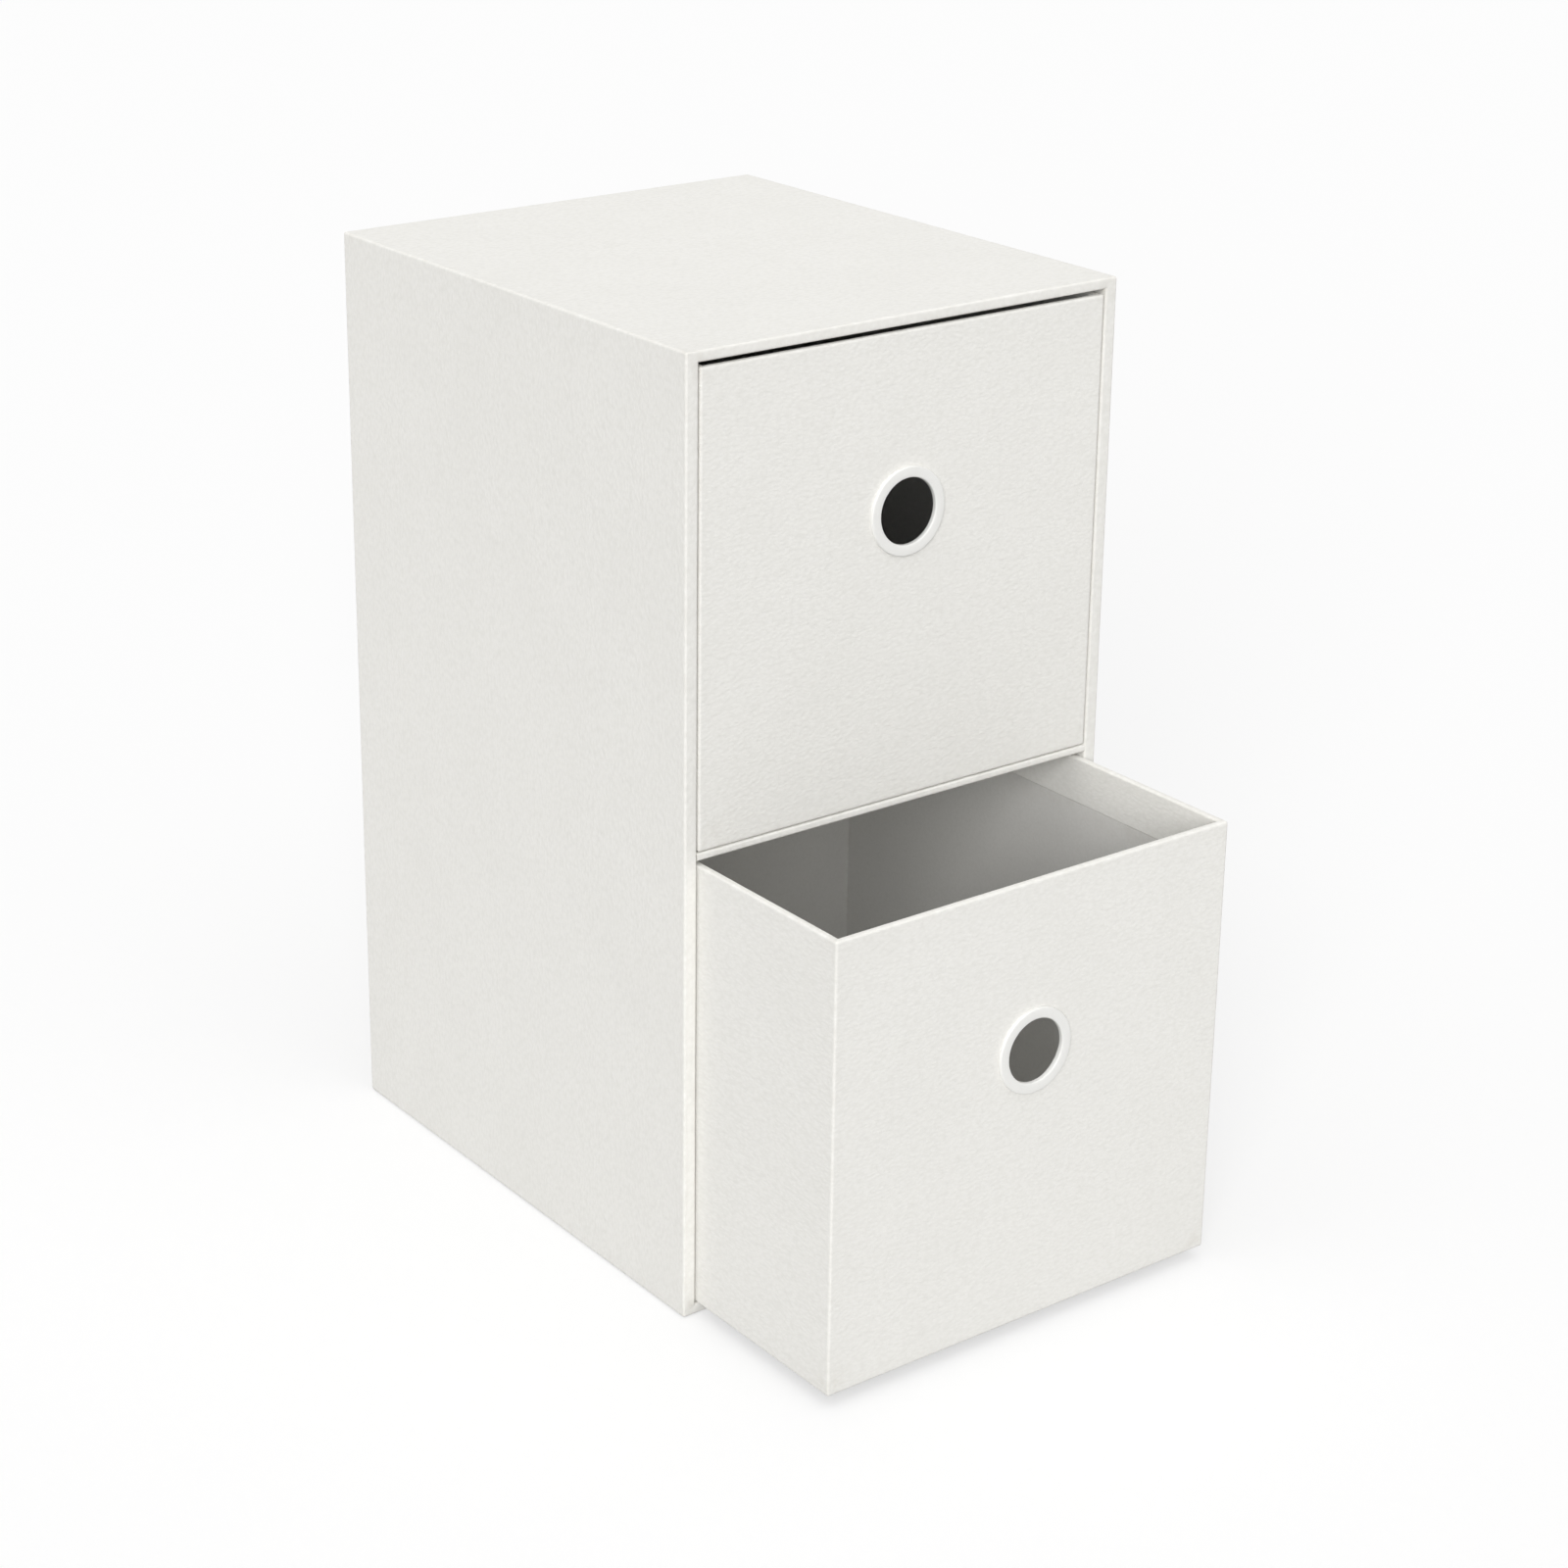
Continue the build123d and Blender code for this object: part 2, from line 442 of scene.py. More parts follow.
@dataclass(frozen=True)
class FloorFinish:
    """A seamless pale floor that shows a soft contact shadow."""

    name: str
    colour: Colour
    bounced: Colour  # what it lights the box with
    white: Colour
    glow: float  # how much of that white lies over the floor where it is seen

    def material(self) -> bpy.types.Material:
        """Makes the floor's material.

        Returns:
            A matt, nearly white material that looks evenly lit where it is seen.
        """
        material = bpy.data.materials.new(self.name)
        material.use_nodes = True
        tree = material.node_tree
        shader = tree.nodes["Principled BSDF"]
        seen = seen_directly(tree)
        tone = tree.nodes.new("ShaderNodeMix")
        tone.data_type = "RGBA"
        tree.links.new(seen, tone.inputs[0])
        tone.inputs[6].default_value = (*self.bounced, 1.0)
        tone.inputs[7].default_value = (*self.colour, 1.0)
        tree.links.new(tone.outputs[2], shader.inputs["Base Color"])
        shader.inputs["Roughness"].default_value = 1.0
        shader.inputs["Specular IOR Level"].default_value = 0.0
        even = tree.nodes.new("ShaderNodeEmission")
        even.inputs["Color"].default_value = (*self.white, 1.0)
        share = tree.nodes.new("ShaderNodeMath")
        share.operation = "MULTIPLY"
        tree.links.new(seen, share.inputs[0])
        share.inputs[1].default_value = self.glow
        mix = tree.nodes.new("ShaderNodeMixShader")
        tree.links.new(share.outputs[0], mix.inputs[0])
        tree.links.new(shader.outputs[0], mix.inputs[1])
        tree.links.new(even.outputs[0], mix.inputs[2])
        tree.links.new(mix.outputs[0], tree.nodes["Material Output"].inputs["Surface"])
        return material


WHITE = (0.868, 0.858, 0.823)
# painted shade along the covering paper's grain, and its random mottling
WHITE_GRAIN_SHADE_AND_MOTTLE = (0.79, 0.78, 0.74)
WHITE_RUBBED = (0.70, 0.675, 0.62)
LINING = (0.74, 0.732, 0.708)
# painted shade along the lining's grain, and its random mottling
LINING_GRAIN_SHADE_AND_MOTTLE = (0.69, 0.682, 0.655)
LINING_RUBBED = (0.6, 0.58, 0.54)
FINE, LONG = 1.0 * MM, 1.8 * MM  # a grain across and along the way that it runs

CABINET_PAPER = PaperFinish(
    "cabinet_paper", WHITE, WHITE_GRAIN_SHADE_AND_MOTTLE, WHITE_RUBBED, (LONG, FINE, LONG), 0.15 * MM, 0.6, 0.35
)
DRAWER_PAPER = PaperFinish(
    "drawer_paper", WHITE, WHITE_GRAIN_SHADE_AND_MOTTLE, WHITE_RUBBED, (LONG, LONG, FINE), 0.14 * MM, 0.6, 0.35
)
LINING_PAPER = PaperFinish(
    "lining_paper", LINING, LINING_GRAIN_SHADE_AND_MOTTLE, LINING_RUBBED, (FINE,) * 3, 0.02 * MM, 0.78, 0.2
)
RING_PLASTIC = PlasticFinish("ring_plastic", (0.85, 0.847, 0.822), (0.805, 0.8, 0.772), 0.38, 0.004 * MM)
GREYBOARD = GreyboardFinish(
    "greyboard", (0.36, 0.34, 0.31), (0.17, 0.155, 0.14), (0.46, 0.435, 0.39), 0.88, 0.05 * MM
)
STUDIO_FLOOR = FloorFinish("studio_floor", (0.97,) * 3, (0.45,) * 3, (0.985,) * 3, 0.5)


# ---- Meshes -----------------------------------------------------------------------


def spread(low: float, high: float, step: float, breaks: Sequence[float] = ()) -> list[float]:
    """Positions at an even spacing that pass through every break.

    Args:
        low: The first position.
        high: The last one.
        step: The widest spacing.
        breaks: Positions that have to be among them.

    Returns:
        The positions, in order.
    """
    marks = sorted({low, high, *breaks})
    found = [low]
    for start, end in zip(marks, marks[1:]):
        count = max(1, math.ceil((end - start) / step - STEP_SLACK))
        found += [start + (end - start) * (i + 1) / count for i in range(count)]
    return found


def quarter(steps: int) -> list[float]:
    """Angles from 0 to a quarter turn."""
    return [math.pi / 2 * i / steps for i in range(steps + 1)]


@dataclass(frozen=True)
class Gap:
    """The cells of a grid that are left out for a hole."""

    columns: tuple[int, int]
    rows: tuple[int, int]

    def holds(self, column: int, row: int) -> bool:
        """True for a cell that is left out."""
        return self.columns[0] <= column < self.columns[1] and self.rows[0] <= row < self.rows[1]

    def loop(self, rows: Sequence[Sequence[Point]]) -> list[Point]:
        """The points round the cells that are left out.

        Args:
            rows: The points of the whole grid.

        Returns:
            The points, once round the gap.
        """
        (left, right), (near, far) = self.columns, self.rows
        first = [rows[near][i] for i in range(left, right)]
        second = [rows[j][right] for j in range(near, far)]
        third = [rows[far][i] for i in range(right, left, -1)]
        fourth = [rows[j][left] for j in range(far, near, -1)]
        return first + second + third + fourth


class Skin:
    """The faces of one thin piece, gathered row by row and then made into an object."""

    def __init__(self) -> None:
        """Starts with no faces."""
        self.mesh = bmesh.new()

    def grid(self, rows: Sequence[Sequence[Point]], closed: bool = False, gap: Gap | None = None) -> None:
        """Adds a face between each four neighbouring points.

        Args:
            rows: Rows of points, all equally long.
            closed: Whether each row runs round to its start.
            gap: The cells to leave out.
        """
        made = [[self.mesh.verts.new(point) for point in row] for row in rows]
        columns = len(rows[0]) if closed else len(rows[0]) - 1
        for row, (near, far) in enumerate(zip(made, made[1:])):
            for column in range(columns):
                if gap and gap.holds(column, row):
                    continue
                after = (column + 1) % len(near)
                self.mesh.faces.new((near[column], near[after], far[after], far[column]))

    def collar(self, loop: Sequence[Point], centre: Vector, radius: float, steps: int = 5) -> None:
        """Fills an upright wall between a loop of points and a round hole.

        Args:
            loop: The points round the gap in the wall.
            centre: The middle of the hole.
            radius: The hole's radius.
            steps: How many rings of faces lie between.
        """
        rows = []
        for step in range(steps + 1):
            share = step / steps
            row = []
            for x, y, z in loop:
                angle = math.atan2(z - centre.z, x - centre.x)
                round_x = centre.x + radius * math.cos(angle)
                round_z = centre.z + radius * math.sin(angle)
                row.append((x + (round_x - x) * share, y, z + (round_z - z) * share))
            rows.append(row)
        self.grid(rows, closed=True)

    def settle(self, facing: Vector, outward: bool = True) -> None:
        """Welds the points and turns every face to the side that is seen.

        Args:
            facing: A direction. The face that lies furthest that way is the test.
            outward: Whether that face looks the same way, and not against it.
        """
        bmesh.ops.remove_doubles(self.mesh, verts=self.mesh.verts, dist=WELD)
        loose = [v for v in self.mesh.verts if not v.link_faces]
        bmesh.ops.delete(self.mesh, geom=loose, context="VERTS")
        bmesh.ops.recalc_face_normals(self.mesh, faces=self.mesh.faces)
        self.mesh.normal_update()
        test = max(self.mesh.faces, key=lambda face: face.calc_center_median().dot(facing))
        if (test.normal.dot(facing) > 0) != outward:
            bmesh.ops.reverse_faces(self.mesh, faces=self.mesh.faces)
        self.mesh.normal_update()

    def ripple(self, depth: float, seed: float) -> None:
        """Sinks the surface unevenly, as paper does over glue.

        Args:
            depth: The deepest dip.
            seed: Picks the pattern.
        """
        mean, wide, fine = RIPPLE_MIX
        offset = Vector((seed, -seed, seed / 2))
        moves = []
        for vertex in self.mesh.verts:
            broad = noise.noise(vertex.co / RIPPLE_LENGTH + offset)
            narrow = noise.noise(vertex.co / (RIPPLE_FINE * RIPPLE_LENGTH) - offset)
            dip = min(1.0, max(0.0, mean + wide * broad + fine * narrow))
            moves.append(vertex.normal * (-depth * dip))
        for vertex, move in zip(self.mesh.verts, moves):
            vertex.co += move

    def mark_wear(self, boxes: Sequence[tuple[Vector, Vector]]) -> None:
        """Says how much each point near an edge or a corner has been rubbed.

        Args:
            boxes: The low and high corner of each box whose edges get rubbed.
        """
        layer = self.mesh.verts.layers.float.new("wear")
        edge_reach, corner_reach = WEAR_REACH
        for vertex in self.mesh.verts:
            rubbed = 0.0
            for low, high in boxes:
                away = [min(abs(vertex.co[i] - low[i]), abs(high[i] - vertex.co[i])) for i in range(3)]
                second, third = sorted(away)[1:]
                edge = math.exp(-second / edge_reach)
                corner = math.exp(-(second + third) / corner_reach)
                rubbed = max(rubbed, (edge + corner) / 2)
            vertex[layer] = rubbed

    def piece(self, name: str, thickness: float = 0.0) -> bpy.types.Object:
        """Makes the object, as a sheet of a given thickness or as a closed solid.

        Args:
            name: What the piece is called.
            thickness: The sheet's thickness, or 0 for faces that are closed already.

        Returns:
            The new object.
        """
        data = bpy.data.meshes.new(name)
        self.mesh.to_mesh(data)
        self.mesh.free()
        made = bpy.data.objects.new(name, data)
        bpy.context.scene.collection.objects.link(made)
        if thickness:
            solid = made.modifiers.new("thickness", "SOLIDIFY")
            solid.thickness = thickness
            solid.offset = -1.0
            solid.use_even_offset = True
            graph = bpy.context.evaluated_depsgraph_get()
            made.data = bpy.data.meshes.new_from_object(made.evaluated_get(graph))
            made.modifiers.clear()
            bpy.data.meshes.remove(data)
            made.data.name = name
        made.data.shade_smooth()
        made.data.set_sharp_from_angle(angle=SHARP_ANGLE)
        normals = made.modifiers.new("flat_walls", "WEIGHTED_NORMAL")
        normals.keep_sharp = True
        normals.weight = WALL_WEIGHT
        return made


def place_piece(
    piece: bpy.types.Object, body: Body, material: bpy.types.Material, nodes: Sequence[str]
) -> None:
    """Dresses a piece, puts it on its body and lets it stand for its nodes.

    Args:
        piece: The piece.
        body: The body that it moves with.
        material: Its finish.
        nodes: The nodes that it stands for.
    """
    piece.data.materials.clear()
    piece.data.materials.append(material)
    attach(piece, body.value)
    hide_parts(*nodes)
    log.info("%s: %d faces on %s", piece.name, len(piece.data.polygons), body.value)


# ---- Covered boxes ----------------------------------------------------------------


@dataclass(frozen=True)
class Row:
    """One turn of the paper round a box: how far in, how deep, and how round its corners are."""

    inset_u: float
    inset_v: float
    depth: float
    corner: float
    furrow: float = 0.0


@dataclass
class CoveredBox:
    """An open box whose boards are covered outside with one paper and lined with another.

    The box is drawn by rows that run round its open side. U is X. V is Z for a box that is
    open in front and Y for one that is open on top. Depth runs away from the open side.
    """

    body: Body
    mouth: Mouth
    wrap_node: str
    lining_node: str
    sheet_nodes: tuple[str, ...]
    paper: float
    hole_node: str | None = None
    seed: float = 0.0
    outer: tuple[Vector, Vector] = field(init=False)
    inner: tuple[Vector, Vector] = field(init=False)

    def __post_init__(self) -> None:
        """Reads the sizes of the covering and of the space inside from the frame."""
        self.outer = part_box(self.wrap_node)
        low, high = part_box(self.lining_node)
        inset = Vector((self.paper,) * 3)
        self.inner = (low + inset, high - inset)
        self.v_axis = 2 if self.mouth is Mouth.FRONT else 1
        self.depth_axis = 1 if self.mouth is Mouth.FRONT else 2
        low, high = self.outer
        self.centre_u, self.centre_v = (low.x + high.x) / 2, (low[self.v_axis] + high[self.v_axis]) / 2
        self.half_u, self.half_v = (high.x - low.x) / 2, (high[self.v_axis] - low[self.v_axis]) / 2
        self.length = high[self.depth_axis] - low[self.depth_axis]
        self.wall_u = self.inner[0].x - low.x
        self.wall_v = self.inner[0][self.v_axis] - low[self.v_axis]
        if self.mouth is Mouth.FRONT:
            self.turn_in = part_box(self.lining_node)[0].y - low.y
            self.floor_depth = self.inner[1].y - low.y
        else:
            self.turn_in = high.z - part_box(self.lining_node)[1].z
            self.floor_depth = high.z - self.inner[0].z
        self.straight_u = self.half_u - EDGE_RADIUS
        self.straight_v = self.half_v - EDGE_RADIUS
        self.hole = self.find_hole()
        self.stations_u = self.stations(self.straight_u, self.hole_span())
        self.stations_v = self.stations(self.straight_v, ())

    def find_hole(self) -> tuple[Vector, float] | None:
        """Finds the finger hole from its ring.

        Returns:
            The middle and the radius of the hole cut for the ring, or None.
        """
        if self.hole_node is None:
            return None
        low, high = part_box(self.hole_node)
        return (low + high) / 2, FingerRing.cut_radius(high.x - low.x)

    def hole_span(self) -> tuple[float, ...]:
        """Where the square of faces round the hole starts and ends along U."""
        return (-HOLE_SQUARE, HOLE_SQUARE) if self.hole else ()

    def stations(self, straight: float, breaks: tuple[float, ...]) -> list[float]:
        """Places of the points along one side of the box.

        Args:
            straight: Half the length of the side, without its rounded corners.
            breaks: Places that have to be among them.

        Returns:
            The places, from one corner to the other.
        """
        beside = [sign * (straight - zone) for zone in EDGE_ZONE for sign in (-1, 1)]
        return spread(-straight, straight, FACE_STEP, (*beside, *breaks))

    def place(self, u: float, v: float, depth: float) -> Point:
        """A point of the box in the frame's axes.

        Args:
            u: Its place along X, from the middle of the box.
            v: Its place along the other side of the mouth, from the middle too.
            depth: How far it lies from the open side.

        Returns:
            X, Y and Z of the point.
        """
        if self.mouth is Mouth.FRONT:
            return (self.centre_u + u, self.outer[0].y + depth, self.centre_v + v)
        return (self.centre_u + u, self.centre_v + v, self.outer[1].z - depth)

    def along(self, stations: Sequence[float], reach: float) -> list[float]:
        """Stations drawn in or out to a new half length."""
        return [place * reach / stations[-1] for place in stations]

    def ring(self, row: Row) -> list[Point]:
        """The points of one row, round the box.

        Args:
            row: Where the row lies.

        Returns:
            The points, starting at the low V side.
        """
        reach_u = self.half_u - row.inset_u - row.corner
        reach_v = self.half_v - row.inset_v - row.corner
        along_u = self.along(self.stations_u, reach_u)
        along_v = self.along(self.stations_v, reach_v)
        out_u, out_v = reach_u + row.corner, reach_v + row.corner
        sides = (
            [(place, -out_v) for place in along_u],
            [(out_u, place) for place in along_v],
            [(place, out_v) for place in reversed(along_u)],
            [(-out_u, place) for place in reversed(along_v)],
        )
        centres = ((reach_u, -reach_v), (reach_u, reach_v), (-reach_u, reach_v), (-reach_u, -reach_v))
        points: list[Point] = []
        for turn, (side, (middle_u, middle_v)) in enumerate(zip(sides, centres)):
            for index, (u, v) in enumerate(side):
                at_corner = index in (0, len(side) - 1)
                points.append(self.place(u, v, row.depth + (row.furrow if at_corner else 0.0)))
            for angle in quarter(EDGE_STEPS)[1:-1]:
                swung = angle + (turn - 1) * math.pi / 2
                u = middle_u + row.corner * math.cos(swung)
                v = middle_v + row.corner * math.sin(swung)
                points.append(self.place(u, v, row.depth + row.furrow))
        return points

    def wrap_rows(self) -> list[Row]:
        """The covering's rows, from its edge under the box to its edge inside the mouth.

        Returns:
            The rows.
        """
        radius, length = EDGE_RADIUS, self.length
        beside_fold = [zone for zone in reversed(EDGE_ZONE) if zone > radius]
        insets = (self.turn_in, self.turn_in / 2, *beside_fold)
        rows = [Row(inset, inset, length, 0.0, -FOLD_DEPTH) for inset in insets]
        for angle in reversed(quarter(EDGE_STEPS)):
            away = radius * math.cos(angle)
            rows.append(Row(radius - away, radius - away, length - radius + radius * math.sin(angle), away))
        beside = [place for zone in EDGE_ZONE for place in (radius + zone, length - radius - zone)]
        walls = spread(radius, length - radius, FACE_STEP, (*beside, *self.hole_rows()))
        rows += [Row(0.0, 0.0, depth, radius) for depth in reversed(walls[1:-1])]
        for angle in quarter(EDGE_STEPS):
            away = radius * math.cos(angle)
            rows.append(Row(radius - away, radius - away, radius - radius * math.sin(angle), away))
        middle_u, middle_v = self.wall_u / 2, self.wall_v / 2
        rows.append(Row(middle_u, middle_v, 0.0, 0.0, FOLD_DEPTH))
        for angle in quarter(EDGE_STEPS):
            past = radius * math.sin(angle) - radius
            drop = radius - radius * math.cos(angle)
            rows.append(Row(self.wall_u + past, self.wall_v + past, drop, 0.0))
        inside = spread(radius, self.turn_in - LAP_GAP, FACE_STEP / 2, (radius + EDGE_ZONE[1],))
        rows += [Row(self.wall_u, self.wall_v, depth, 0.0) for depth in inside[1:]]
        return rows

    def lining_rows(self) -> list[Row]:
        """The lining's rows, from beside the turned-in paper to the corner with the floor.

        Returns:
            The rows.
        """
        start, end = self.turn_in, self.floor_depth
        breaks = (start + EDGE_ZONE[0], end - EDGE_ZONE[1], *self.hole_rows())
        depths = spread(start, end, FACE_STEP, breaks)
        return [Row(self.wall_u, self.wall_v, depth, 0.0) for depth in depths]

    def hole_rows(self) -> tuple[float, ...]:
        """Depths at which the square of faces round the hole starts and ends.

        Returns:
            The two depths, or nothing for a box without a hole.
        """
        if not self.hole:
            return ()
        middle = self.outer[1].z - self.hole[0].z
        return (middle - HOLE_SQUARE, middle + HOLE_SQUARE)

    def gap(self, rows: Sequence[Row], inset_v: float) -> Gap | None:
        """Finds the cells round the finger hole on the front wall.

        Args:
            rows: The rows of the paper.
            inset_v: The inset of the wall that the hole goes through.

        Returns:
            The cells to leave out, or None.
        """
        if not self.hole:
            return None
        columns = [self.nearest(self.stations_u, edge) for edge in self.hole_span()]
        depths = [row.depth if row.inset_v == inset_v else math.inf for row in rows]
        found = sorted(self.nearest(depths, edge) for edge in self.hole_rows())
        return Gap((columns[0], columns[1]), (found[0], found[1]))

    @staticmethod
    def nearest(places: Sequence[float], wanted: float) -> int:
        """The index of the place nearest to the one that is wanted."""
        return min(range(len(places)), key=lambda index: abs(places[index] - wanted))

    def sheet(self, rows: Sequence[Row], inset_v: float) -> Skin:
        """Draws the rows as one paper, with the finger hole cut in it.

        Args:
            rows: The rows of the paper.
            inset_v: The inset of the wall that the hole goes through.

        Returns:
            The paper's faces.
        """
        skin = Skin()
        points = [self.ring(row) for row in rows]
        gap = self.gap(rows, inset_v)
        skin.grid(points, closed=True, gap=gap)
        if gap and self.hole:
            skin.collar(gap.loop(points), *self.hole)
        return skin

    def make_wrap(self, name: str) -> bpy.types.Object:
        """Makes the covering paper.

        Args:
            name: What the piece is called.

        Returns:
            The paper.
        """
        skin = self.sheet(self.wrap_rows(), 0.0)
        skin.settle(RIGHT)
        skin.mark_wear((self.outer, self.inner_edges()))
        skin.ripple(RIPPLE_DEPTH, self.seed)
        return skin.piece(name, self.paper - RIPPLE_DEPTH)

    def inner_edges(self) -> tuple[Vector, Vector]:
        """The box whose edges are the inner edges of the mouth.

        Returns:
            Its low and its high corner.
        """
        low, high = self.inner[0].copy(), self.inner[1].copy()
        if self.mouth is Mouth.FRONT:
            low.y = self.outer[0].y
        else:
            high.z = self.outer[1].z
        return low, high

    def make_lining(self, name: str) -> bpy.types.Object:
        """Makes the lining.

        Args:
            name: What the piece is called.

        Returns:
            The paper.
        """
        rows = self.lining_rows()
        skin = self.sheet(rows, self.wall_v)
        across = self.along(self.stations_u, self.half_u - self.wall_u)
        along = self.along(self.stations_v, self.half_v - self.wall_v)
        skin.grid([[self.place(u, v, self.floor_depth) for u in across] for v in along])
        skin.settle(RIGHT, outward=False)
        skin.mark_wear((self.inner,))
        skin.ripple(RIPPLE_DEPTH, self.seed + LINING_SEED)
        return skin.piece(name, self.paper - RIPPLE_DEPTH)

    def make_sheet(self, name: str, node: str, facing: Vector) -> bpy.types.Object:
        """Makes a flat paper that is glued over the back or under the base.

        Args:
            name: What the piece is called.
            node: The node that it stands for.
            facing: The way its outer side looks.

        Returns:
            The paper.
        """
        low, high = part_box(node)
        axis = max(range(3), key=lambda index: abs(facing[index]))
        level = high[axis] if facing[axis] > 0 else low[axis]
        first, second = [index for index in range(3) if index != axis]
        skin = Skin()
        rows = []
        for a in self.sheet_places(low[first], high[first]):
            row = []
            for b in self.sheet_places(low[second], high[second]):
                point = [0.0, 0.0, 0.0]
                point[first], point[second], point[axis] = a, b, level
                row.append(tuple(point))
            rows.append(row)
        skin.grid(rows)
        skin.settle(facing)
        skin.mark_wear(((low, high),))
        skin.ripple(RIPPLE_DEPTH, self.seed + SHEET_SEED)
        return skin.piece(name, self.paper - RIPPLE_DEPTH)

    def sheet_places(self, low: float, high: float) -> list[float]:
        """Places of the points across a flat paper, closer together beside its edges."""
        beside = [place for zone in EDGE_ZONE for place in (low + zone, high - zone)]
        return spread(low, high, FACE_STEP, beside)


@dataclass
class Cabinet(CoveredBox):
    """The cabinet: its covering, lining, back and base papers, and the papered shelf."""

    shelf_node: str = "shelf_wrap"

    def build(self, paper: bpy.types.Material, lining: bpy.types.Material) -> None:
        """Makes and places the cabinet's papers.

        Args:
            paper: The covering paper's finish.
            lining: The lining's finish.
        """
        body = self.body
        place_piece(self.make_wrap("cabinet_covering"), body, paper, (self.wrap_node,))
        place_piece(self.make_lining("bay_lining"), body, lining, (self.lining_node,))
        back, base = self.sheet_nodes
        back_sheet = self.make_sheet("back_sheet", back, BACKWARD)
        place_piece(back_sheet, body, paper, (back,))
        base_sheet = self.make_sheet("base_sheet", base, DOWN)
        place_piece(base_sheet, body, paper, (base,))
        place_piece(self.make_shelf("shelf_covering"), body, paper, (self.shelf_node,))

    def make_shelf(self, name: str) -> bpy.types.Object:
        """Makes the paper folded over the front edge of the shelf.

        Args:
            name: What the piece is called.

        Returns:
            The paper.
        """
        low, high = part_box(self.shelf_node)
        radius = EDGE_RADIUS
        depths = spread(low.y + radius, high.y, FACE_STEP, (low.y + radius + EDGE_ZONE[1],))
        profile = [(depth, high.z) for depth in reversed(depths)]
        for angle in quarter(EDGE_STEPS)[1:]:
            y = low.y + radius - radius * math.sin(angle)
            profile.append((y, high.z - radius + radius * math.cos(angle)))
        for angle in quarter(EDGE_STEPS):
            y = low.y + radius - radius * math.cos(angle)
            profile.append((y, low.z + radius - radius * math.sin(angle)))
        profile += [(depth, low.z) for depth in depths[1:]]
        across = self.sheet_places(low.x, high.x)
        skin = Skin()
        skin.grid([[(x, y, z) for x in across] for y, z in profile])
        skin.settle(FORWARD)
        skin.mark_wear(((low - Vector((FAR, 0.0, 0.0)), high + Vector((FAR, FAR, 0.0))),))
        skin.ripple(RIPPLE_DEPTH, self.seed + SHELF_SEED)
        return skin.piece(name, self.paper - RIPPLE_DEPTH)


@dataclass
class Drawer(CoveredBox):
    """A drawer: its covering, lining and base paper."""

    def build(self, paper: bpy.types.Material, lining: bpy.types.Material) -> None:
        """Makes and places the drawer's papers.

        Args:
            paper: The covering paper's finish.
            lining: The lining's finish.
        """
        body, name = self.body, self.body.value
        place_piece(self.make_wrap(f"{name}_covering"), body, paper, (self.wrap_node,))
        place_piece(self.make_lining(f"{name}_inner_lining"), body, lining, (self.lining_node,))
        for node in self.sheet_nodes:
            base_sheet = self.make_sheet(f"{name}_base_sheet", node, DOWN)
            place_piece(base_sheet, body, paper, (node,))


# ---- Finger rings -----------------------------------------------------------------


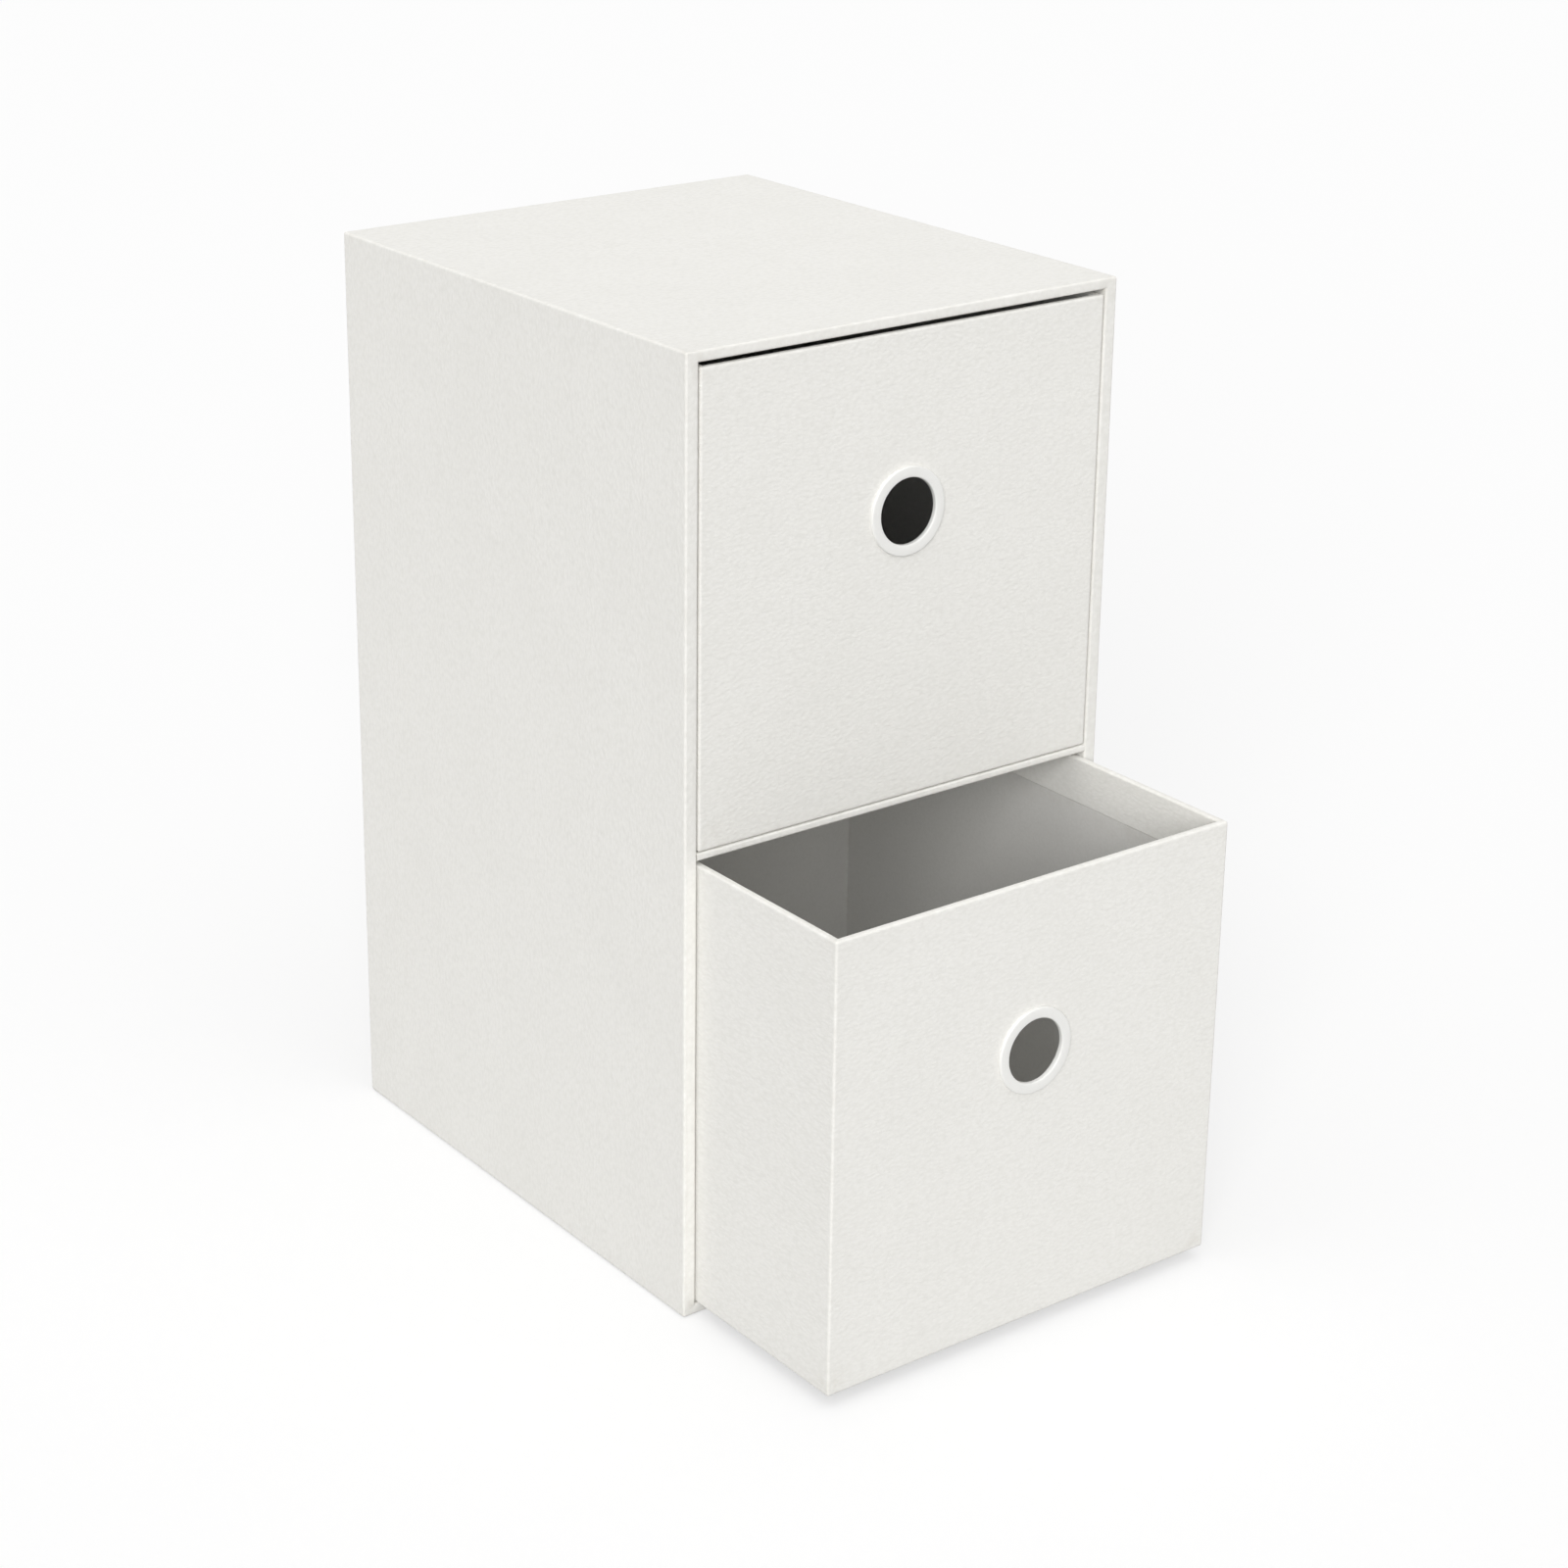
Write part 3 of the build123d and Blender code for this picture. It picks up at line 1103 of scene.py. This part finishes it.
@dataclass
class FingerRing:
    """A moulded ring that edges a finger hole, with a collar pressed into the cut behind it."""

    body: Body
    front: float  # Y of the drawer's front
    node: str
    flange_width: float = 3.5 * MM
    seat_depth: float = 0.5 * MM
    collar_wall: float = 0.7 * MM
    rounding: float = 0.5 * MM
    crown: float = 0.05 * MM  # how far the flat stands out from the rims
    bevel: float = 0.12 * MM
    segments: int = 128

    COLLAR_INSET = 1.0 * MM  # rim of the flange to the outside of the collar
    CUT_CLEARANCE = 0.15 * MM  # collar to the cut in the papers
    ROUND_STEPS = EDGE_STEPS + 2  # faces across a rounded rim
    FLAT_SHARES = (0.3, 0.7)  # where the crown runs level, as shares of the flat between the rims

    @classmethod
    def cut_radius(cls, flange_diameter: float) -> float:
        """The radius of the hole cut in the papers for a ring with this flange."""
        return flange_diameter / 2 - cls.COLLAR_INSET + cls.CUT_CLEARANCE

    def build(self, plastic: bpy.types.Material) -> None:
        """Makes and places the ring.

        Args:
            plastic: Its finish.
        """
        ring = self.turned(f"{self.body.value}_pull_ring")
        place_piece(ring, self.body, plastic, (self.node,))

    def profile(self, outside: float, face: float, end: float) -> list[tuple[float, float]]:
        """The ring's section.

        Args:
            outside: The flange's radius.
            face: Y of the flange's face.
            end: Y of the collar's end.

        Returns:
            Radius and Y of each point, from the bore in front round to the seat behind.
        """
        rounding, bevel = self.rounding, self.bevel
        bore, collar = outside - self.flange_width, outside - self.COLLAR_INSET
        seat, wide_bore = self.front + self.seat_depth, collar - self.collar_wall
        points = []
        for angle in quarter(self.ROUND_STEPS):
            y = face + self.crown + rounding - rounding * math.sin(angle)
            points.append((bore + rounding - rounding * math.cos(angle), y))
        flat = outside - bore - 2 * rounding
        points += [(bore + rounding + share * flat, face) for share in self.FLAT_SHARES]
        for angle in quarter(self.ROUND_STEPS):
            y = face + self.crown + rounding - rounding * math.cos(angle)
            points.append((outside - rounding + rounding * math.sin(angle), y))
        points += [(outside, self.front), (collar, self.front), (collar, end - bevel), (collar - bevel, end)]
        points += [(wide_bore + bevel, end), (wide_bore, end - bevel), (wide_bore, seat)]
        points += [(bore + bevel, seat), (bore, seat - bevel)]
        return points

    def turned(self, name: str) -> bpy.types.Object:
        """Turns the section about the hole's axis.

        Args:
            name: What the piece is called.

        Returns:
            The ring.
        """
        low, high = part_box(self.node)
        centre = (low + high) / 2
        section = self.profile((high.x - low.x) / 2, low.y, high.y)
        turns = [2 * math.pi * i / self.segments for i in range(self.segments)]
        rows = [
            [(centre.x + radius * math.cos(turn), y, centre.z + radius * math.sin(turn)) for turn in turns]
            for radius, y in (*section, section[0])
        ]
        skin = Skin()
        skin.grid(rows, closed=True)
        skin.settle(RIGHT)
        skin.mark_wear(((low, high),))
        return skin.piece(name)


# ---- Studio -----------------------------------------------------------------------


@dataclass(frozen=True)
class Lamp:
    """A large soft lamp, far from the box."""

    name: str
    power: float
    spread: float  # degrees across
    toward: Point  # the way from the box to the lamp

    def build(self) -> None:
        """Adds the lamp to the scene."""
        data = bpy.data.lights.new(self.name, "SUN")
        data.energy = self.power
        data.angle = math.radians(self.spread)
        lamp = bpy.data.objects.new(self.name, data)
        lamp.rotation_euler = Vector(self.toward).to_track_quat("Z", "Y").to_euler()
        bpy.context.scene.collection.objects.link(lamp)


@dataclass
class Studio:
    """The camera, the lights and the pale floor that the box stands on."""

    azimuth: float = -36.113  # degrees, seen from the box's front left
    elevation: float = 19.841
    roll: float = 0.278
    position: Point = (-0.5976, -0.8125, 0.5357)
    lens: float = 75.546  # millimetres
    sensor: float = 36.0
    shift: tuple[float, float] = (0.05, -0.08)
    clip: tuple[float, float] = (0.01, 50.0)  # nearest and furthest that it sees, in metres
    sky: Colour = (0.536, 0.536, 0.536)
    backdrop: Colour = (0.985, 0.985, 0.985)
    lamps: tuple[Lamp, ...] = (
        Lamp("front_lamp", 1.885, 34.0, (-0.632, -0.678, 0.375)),
        Lamp("top_lamp", 0.773, 70.0, (-0.1, -0.15, 0.98)),
    )
    floor_radius: float = 8.0
    floor_segments: int = 64

    def build(self) -> None:
        """Sets up the camera, the light and the floor."""
        self.make_camera()
        self.make_world()
        for lamp in self.lamps:
            lamp.build()
        self.make_floor()
        bpy.context.scene.view_settings.view_transform = "Standard"

    def make_camera(self) -> None:
        """Places the camera and makes it the scene's."""
        data = bpy.data.cameras.new("camera")
        data.lens, data.sensor_width = self.lens, self.sensor
        data.shift_x, data.shift_y = self.shift
        data.clip_start, data.clip_end = self.clip
        camera = bpy.data.objects.new("camera", data)
        aim = Euler((math.radians(90.0 - self.elevation), 0.0, math.radians(self.azimuth))).to_matrix()
        tilt = Matrix.Rotation(math.radians(self.roll), 4, "Z")
        camera.matrix_world = Matrix.Translation(self.position) @ aim.to_4x4() @ tilt
        bpy.context.scene.collection.objects.link(camera)
        bpy.context.scene.camera = camera

    def make_world(self) -> None:
        """Lights the scene evenly, and shows a white backdrop beyond the floor."""
        world = bpy.data.worlds.new("studio")
        bpy.context.scene.world = world
        world.use_nodes = True
        tree = world.node_tree
        light = tree.nodes["Background"]
        light.inputs["Color"].default_value = (*self.sky, 1.0)
        shown = tree.nodes.new("ShaderNodeBackground")
        shown.inputs["Color"].default_value = (*self.backdrop, 1.0)
        mix = tree.nodes.new("ShaderNodeMixShader")
        tree.links.new(seen_directly(tree), mix.inputs[0])
        tree.links.new(light.outputs[0], mix.inputs[1])
        tree.links.new(shown.outputs[0], mix.inputs[2])
        tree.links.new(mix.outputs[0], tree.nodes["World Output"].inputs["Surface"])

    def make_floor(self) -> None:
        """Adds the floor at the box's underside."""
        mesh = bmesh.new()
        bmesh.ops.create_circle(mesh, cap_ends=True, segments=self.floor_segments, radius=self.floor_radius)
        data = bpy.data.meshes.new("floor")
        mesh.to_mesh(data)
        mesh.free()
        floor = bpy.data.objects.new("floor", data)
        data.materials.append(STUDIO_FLOOR.material())
        bpy.context.scene.collection.objects.link(floor)


# ---- Storage box ------------------------------------------------------------------


def dress_boards() -> None:
    """Gives every greyboard its finish."""
    material = GREYBOARD.material()
    for name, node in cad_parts.items():
        if not name.endswith("_board"):
            continue
        if not node.material_slots:
            node.data.materials.append(material)
        for slot in node.material_slots:
            slot.material = material
        log.info("%s: greyboard", name)


def main() -> None:
    """Builds the cabinet, its drawers and rings, and the studio."""
    logging.basicConfig(level=logging.INFO, format="%(message)s")
    lining = LINING_PAPER.material()
    drawer_paper = DRAWER_PAPER.material()
    plastic = RING_PLASTIC.material()
    low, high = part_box("back_paper")
    paper = high.y - low.y
    sheets = ("back_paper", "base_paper")
    cabinet = Cabinet(Body.CABINET, Mouth.FRONT, "cabinet_wrap", "cabinet_lining", sheets, paper, seed=1.7)
    cabinet.build(CABINET_PAPER.material(), lining)
    for body, seed in ((Body.UPPER, 4.2), (Body.LOWER, 9.6)):
        name = body.value
        ring_node = f"{name}_finger_ring"
        drawer = Drawer(
            body, Mouth.TOP, f"{name}_wrap", f"{name}_lining", (f"{name}_base_paper",), paper, ring_node, seed
        )
        drawer.build(drawer_paper, lining)
        FingerRing(body, drawer.outer[0].y, ring_node).build(plastic)
    dress_boards()
    Studio().build()


if __name__ == "__main__":
    main()
